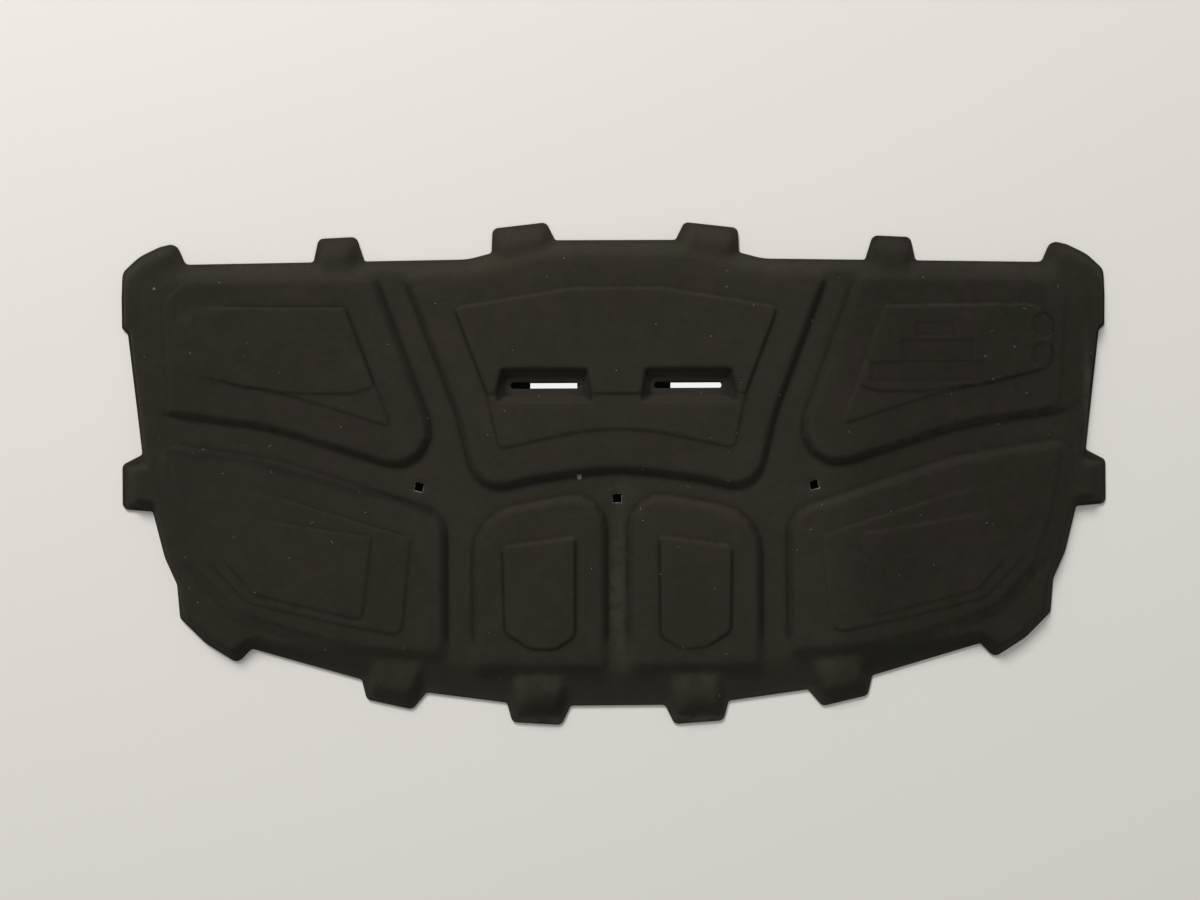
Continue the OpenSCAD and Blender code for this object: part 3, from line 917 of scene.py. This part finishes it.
ring = node(scatter, "GeometryNodeCurvePrimitiveCircle", {"Resolution": 3, "Radius": thin})
for start, start_handle, end_handle, end in FIBRE_BENDS:
    line = node(scatter, "GeometryNodeCurvePrimitiveBezierSegment", {
        "Resolution": 6, "Start": start, "Start Handle": start_handle,
        "End Handle": end_handle, "End": end})
    strand = node(scatter, "GeometryNodeCurveToMesh", {
        "Curve": line.outputs[0], "Profile Curve": ring.outputs[0], "Fill Caps": True})
    instance = node(scatter, "GeometryNodeGeometryToInstance", {"Geometry": strand.outputs[0]})
    scatter.links.new(instance.outputs[0], bends.inputs[0])
print("bent fibres:", len(FIBRE_BENDS))

# %% [markdown]
# ## A fibre on each point
# Random values with a fixed seed pick one of the three fibres for each point, turn it any way in
# the plane with a slight tilt, and choose its size. Realising the copies makes them plain mesh.

# %% A fibre on each point
TILT = 0.15  # in radians
SMALLEST, LARGEST = 0.3, 1.6  # times the length
seed = given.outputs["Seed"]
which = node(scatter, "FunctionNodeRandomValue", {"Seed": seed}, data_type="INT")
for name, value in (("Min", 0), ("Max", len(FIBRE_BENDS) - 1)):
    [s for s in which.inputs if s.name == name and s.enabled][0].default_value = value
turn = node(scatter, "FunctionNodeRandomValue", {"Seed": seed}, data_type="FLOAT_VECTOR")
turn.inputs[0].default_value = (-TILT, -TILT, 0.0)
turn.inputs[1].default_value = (TILT, TILT, 2 * math.pi)
turned = node(scatter, "FunctionNodeRotateRotation", {
    "Rotation": spots.outputs["Rotation"], "Rotate By": turn.outputs[0]}, rotation_space="LOCAL")
size = node(scatter, "FunctionNodeRandomValue", {"Seed": seed}, data_type="FLOAT")
size.inputs[2].default_value = SMALLEST
size.inputs[3].default_value = LARGEST
scale = times(scatter, size.outputs[1], given.outputs["Length"])
placed = node(scatter, "GeometryNodeInstanceOnPoints", {
    "Points": spots.outputs["Points"], "Instance": bends.outputs[0], "Pick Instance": True,
    "Instance Index": which.outputs[2], "Rotation": turned.outputs[0], "Scale": scale})
real = node(scatter, "GeometryNodeRealizeInstances", {"Geometry": placed.outputs[0]})
finished = node(scatter, "GeometryNodeSetMaterial", {
    "Geometry": real.outputs[0], "Material": given.outputs["Material"]})
scatter.links.new(finished.outputs[0], result.inputs["Geometry"])

lint = bpy.data.objects.new("lint_fibres", pad.data.copy())
bpy.context.scene.collection.objects.link(lint)
made = run_tree(lint, scatter, {
    "Density": 120.0, "Length": 0.0032, "Radius": 0.0002, "Seed": 3, "Material": lint_colour})
print("lint:", len(made.polygons), "faces")

# %% [markdown]
# ## Floor
# A plain pale floor carries the pad. Through the clip holes and slots one looks down on the floor
# under it. Its colour paints a shadow there by its own place, in dark boxes under the holes, and
# two boxes under the slots glow white for the camera only: painted light.

# %% Floor
FLOOR_REACH = 6.0
FLOOR_Z = -0.0004  # a little below the rim
FLOOR_COLOUR = (0.71, 0.697, 0.672, 1)
# painted shadow under the pad
PAINTED_SHADOW = (0.012, 0.010, 0.008, 1)
PAINTED_SHADOW_BOXES = [(-0.30, 0.30, -0.06, 0.01), (-0.16, 0.16, 0.09, 0.15)]  # left, right, from, to
# boxes of painted light under the slots
PAINTED_LIGHT_BOXES = [(-0.120, -0.0545, 0.1203, 0.1275), (0.0762, 0.1475, 0.1203, 0.1275)]
corners = [(-FLOOR_REACH, -FLOOR_REACH), (FLOOR_REACH, -FLOOR_REACH),
           (FLOOR_REACH, FLOOR_REACH), (-FLOOR_REACH, FLOOR_REACH)]
floor_mesh = bpy.data.meshes.new("floor")
floor_mesh.from_pydata([(x, y, FLOOR_Z) for x, y in corners], [], [(0, 1, 2, 3)])
floor = bpy.data.objects.new("floor", floor_mesh)
bpy.context.scene.collection.objects.link(floor)
floor_material, tree, shader, place = new_material("floor", 0.8)
floor_mesh.materials.append(floor_material)
across = node(tree, "ShaderNodeSeparateXYZ", {"Vector": place})


def in_box(left, right, bottom, top):
    """1 on the floor between these four lines, 0 elsewhere."""
    sides = [math_node(tree, "GREATER_THAN", across.outputs[0], left),
             math_node(tree, "LESS_THAN", across.outputs[0], right),
             math_node(tree, "GREATER_THAN", across.outputs[1], bottom),
             math_node(tree, "LESS_THAN", across.outputs[1], top)]
    return times(tree, times(tree, *sides[:2]), times(tree, *sides[2:]))


def in_any(boxes):
    """1 on the floor in either of two boxes."""
    return math_node(tree, "MAXIMUM", in_box(*boxes[0]), in_box(*boxes[1]))


floor_colour = mixed(tree, in_any(PAINTED_SHADOW_BOXES), FLOOR_COLOUR, PAINTED_SHADOW)
tree.links.new(floor_colour, shader.inputs["Base Color"])
rays = node(tree, "ShaderNodeLightPath")
# painted light: the boxes under the slots glow for camera rays only
painted_light = times(tree, in_any(PAINTED_LIGHT_BOXES), rays.outputs["Is Camera Ray"])
painted_glow = node(tree, "ShaderNodeEmission", {"Color": (1, 1, 1, 1), "Strength": 0.9})
floor_mix = node(tree, "ShaderNodeMixShader", {
    0: painted_light, 1: shader.outputs[0], 2: painted_glow.outputs[0]})
tree.links.new(floor_mix.outputs[0], tree.nodes["Material Output"].inputs[0])
print("floor:", 2 * FLOOR_REACH, "m wide,", len(tree.nodes), "nodes")

# %% [markdown]
# ## Light
# One wide soft lamp stands beyond the upper edge, low and a little to the left. It brightens the
# slopes that face the upper edge and leaves those that face down or right dark, which is what
# shows a dark relief. A weaker even light comes from all round, while the camera and mirror
# reflections see a plain white world.

# %% Light
KEY_PLACE = (-2.1, 5.6, 3.64)
KEY_POWER = 560  # watts
ROUND_LIGHT = 0.42
lamp = bpy.data.lights.new("key", "AREA")
lamp.shape = "RECTANGLE"
lamp.size, lamp.size_y = 3.0, 2.0  # metres
lamp.energy = KEY_POWER
lamp.color = (1.0, 0.97, 0.93)
key = bpy.data.objects.new("key", lamp)
key.location = KEY_PLACE
key.rotation_euler = (-key.location).to_track_quat("-Z", "Y").to_euler()
bpy.context.scene.collection.objects.link(key)

world = bpy.data.worlds.new("world")
bpy.context.scene.world = world
world.use_nodes = True
tree = world.node_tree
seen = tree.nodes["Background"]
seen.inputs["Color"].default_value = (1, 1, 1, 1)
light = node(tree, "ShaderNodeBackground", {
    "Color": (1.0, 0.99, 0.97, 1), "Strength": ROUND_LIGHT})
rays = node(tree, "ShaderNodeLightPath")
shown = math_node(tree, "MAXIMUM", rays.outputs["Is Camera Ray"], rays.outputs["Is Glossy Ray"])
both = node(tree, "ShaderNodeMixShader", {0: shown, 1: light.outputs[0], 2: seen.outputs[0]})
tree.links.new(both.outputs[0], tree.nodes["World Output"].inputs[0])
bpy.context.scene.view_settings.view_transform = "Standard"
print("lamp at", tuple(round(v, 1) for v in key.location))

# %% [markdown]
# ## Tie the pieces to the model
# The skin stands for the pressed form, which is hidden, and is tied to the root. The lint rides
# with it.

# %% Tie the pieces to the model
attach(pad, "root")
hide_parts("insulation_pad")
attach(lint, "root")
